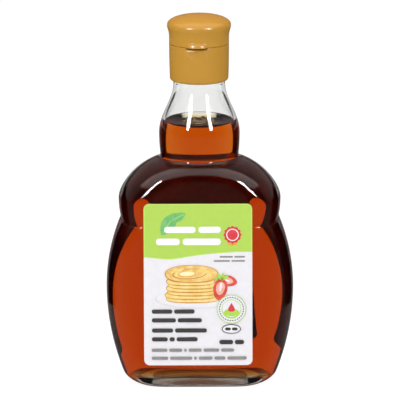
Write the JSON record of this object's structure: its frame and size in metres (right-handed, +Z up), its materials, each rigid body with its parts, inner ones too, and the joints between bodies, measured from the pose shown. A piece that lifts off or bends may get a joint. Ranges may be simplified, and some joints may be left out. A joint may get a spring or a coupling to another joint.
{
  "type": "bottle of maple syrup",
  "caption": "Clear glass flask of amber syrup with flat labelled panels, round shoulders, a swelling neck and a closed flip-top cap.",
  "frame": {"origin": "centre of the footprint, on the surface that the flask stands on", "axes": "+Z up along the neck, -Y out of the front label, +X to the right seen from the front"},
  "size_m": [0.0934, 0.0532, 0.1847],
  "materials": {
    "flint_glass": "clear moulded flint glass, fire polished",
    "syrup": "clear dark amber syrup",
    "label_paper": "semi-gloss coated paper label with printed colour fields",
    "cap_plastic": "moulded mustard-gold polypropylene, satin gloss"
  },
  "bodies": {
    "root": {"bottle_glass": "flint_glass", "syrup": "syrup", "front_label": "label_paper", "back_label": "label_paper", "cap_base": "cap_plastic", "cap_lid": "cap_plastic", "lid_hinge": "cap_plastic"}
  },
  "joints": []
}
